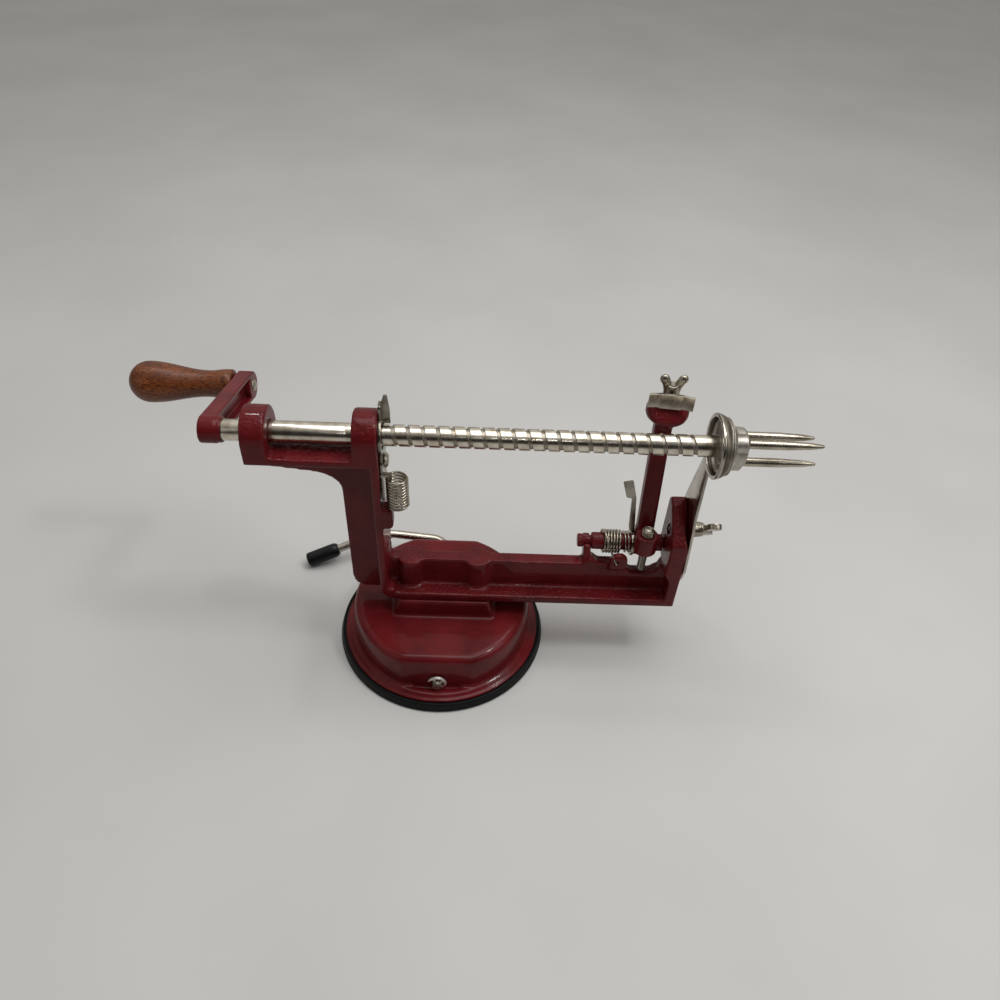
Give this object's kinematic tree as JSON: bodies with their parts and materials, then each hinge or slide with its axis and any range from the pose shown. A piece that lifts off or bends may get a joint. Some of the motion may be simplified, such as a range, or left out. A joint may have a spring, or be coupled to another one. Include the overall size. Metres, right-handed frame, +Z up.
{
  "type": "apple peeler",
  "caption": "Hand-cranked apple peeler: a threaded shaft feeds a pronged fork past a sprung peeling knife and a slicing blade, on a cast frame with a suction base.",
  "frame": {"origin": "middle of the suction cup's underside, on the table", "axes": "+X along the shaft towards the fork, +Y to the back, where the handle and the lever are, +Z up"},
  "size_m": [0.3155, 0.1176, 0.1503],
  "materials": {
    "paint": "gloss enamel on cast iron and pressed steel",
    "steel": "turned and stamped steel",
    "nickel": "nickel plate",
    "blade": "ground and polished blade steel",
    "hub": "cast aluminium",
    "wood": "stained and varnished",
    "rubber": "moulded",
    "vinyl": "dipped"
  },
  "bodies": {
    "frame": {"main_frame": "paint", "suction_base": "paint", "suction_cup": "rubber", "frame_screws": "steel", "latch_rivet": "steel", "latch_spring": "nickel", "arm_spring": "nickel", "slicing_blade": "blade", "corer_ring": "nickel", "blade_bolt": "nickel"},
    "feed": {"crank_rivet": "steel"},
    "drive": {"drive_shaft": "steel", "crank_arm": "paint", "handle_pin": "steel", "fork_hub": "hub", "fork_prongs": "nickel"},
    "grip": {"handle": "wood"},
    "latch": {"latch_plate": "steel"},
    "arm": {"peel_arm": "paint", "depth_spring": "nickel", "catch_spring": "nickel", "peel_blade": "blade", "blade_stud": "steel"},
    "catch": {"arm_catch": "steel"},
    "depth": {"depth_screw": "nickel"},
    "knife_nut": {"peel_wing_nut": "nickel"},
    "blade_nut": {"blade_wing_nut": "nickel"},
    "lever": {"suction_lever": "steel", "lever_grip": "vinyl", "lever_clip": "steel"},
    "stud": {"cup_stud": "steel"}
  },
  "joints": [
    {"name": "feed_slide", "type": "slide", "parent": "frame", "child": "feed", "axis": [1, 0, 0], "range_m": [-0.13355, 0.00496]},
    {"name": "crank_turn", "type": "hinge", "parent": "feed", "child": "drive", "pos_m": [0, 0, 0.129], "axis": [1, 0, 0], "range_deg": [-7560, 270]},
    {"name": "handle_spin", "type": "hinge", "parent": "drive", "child": "grip", "pos_m": [-0.128, 0.05479, 0.11329], "axis": [1, 0, 0], "continuous": true},
    {"name": "latch_tilt", "type": "hinge", "parent": "frame", "child": "latch", "pos_m": [-0.0246, -0.0015, 0.1165], "axis": [1, 0, 0], "range_deg": [0, 6], "stiffness_Nm_per_rad": 0.6, "springref_deg": -5.73, "deforming": ["latch_spring"]},
    {"name": "arm_swing", "type": "hinge", "parent": "frame", "child": "arm", "pos_m": [0.09, 0.005, 0.064], "axis": [-1, 0, 0], "range_deg": [0, 45], "stiffness_Nm_per_rad": 0.3, "springref_deg": -20.05},
    {"name": "catch_swing", "type": "hinge", "parent": "arm", "child": "catch", "pos_m": [0.092, 0.005, 0.064], "axis": [-1, 0, 0], "range_deg": [0, 20], "stiffness_Nm_per_rad": 0.05, "springref_deg": -11.46},
    {"name": "depth_turn", "type": "hinge", "parent": "arm", "child": "depth", "pos_m": [0.0976, -0.002, 0.07], "axis": [0, 0, 1], "continuous": true},
    {"name": "knife_nut_turn", "type": "hinge", "parent": "arm", "child": "knife_nut", "pos_m": [0.1006, 0.023, 0.14], "axis": [0, 0, 1], "continuous": true},
    {"name": "blade_nut_turn", "type": "hinge", "parent": "frame", "child": "blade_nut", "pos_m": [0.12, 0.001, 0.0778], "axis": [1, 0, 0], "continuous": true},
    {"name": "lever_turn", "type": "hinge", "parent": "frame", "child": "lever", "pos_m": [0, 0, 0.0105], "axis": [0, 1, 0], "range_deg": [0, 180]},
    {"name": "stud_lift", "type": "slide", "parent": "frame", "child": "stud", "axis": [0, 0, 1], "range_m": [0, 0.00321]}
  ],
  "couplings": [
    {"joint": "feed_slide", "follows": "crank_turn", "m_per_rad": 0.0010106},
    {"joint": "stud_lift", "follows": "lever_turn", "m_per_rad": 0.0010186}
  ]
}
